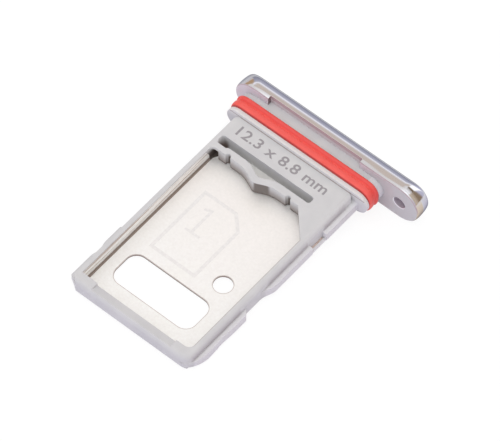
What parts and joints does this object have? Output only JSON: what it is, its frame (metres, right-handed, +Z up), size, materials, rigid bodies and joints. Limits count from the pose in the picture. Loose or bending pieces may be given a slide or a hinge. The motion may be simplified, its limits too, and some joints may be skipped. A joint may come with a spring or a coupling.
{
  "type": "sim card tray",
  "caption": "Slide-in tray for a nano sim card: moulded plastic frame with a steel floor and a spring arm, a red silicone seal ring and a rounded aluminium end cap with an eject-pin hole.",
  "frame": {"origin": "middle of the bounding box's underside, which is the underside of the end cap", "axes": "+X along the end cap towards the eject hole, +Y out of the device through the end cap, +Z up out of the open side of the card pocket"},
  "size_m": [0.0152, 0.0192, 0.0031],
  "materials": {
    "cap": "polished and anodised silver",
    "seal": "satin red silicone",
    "carrier": "fine matt light grey",
    "plate": "satin stainless with a fine grain"
  },
  "bodies": {
    "root": {"cap": "cap", "seal": "seal", "carrier": "carrier", "plate": "plate"}
  },
  "joints": []
}
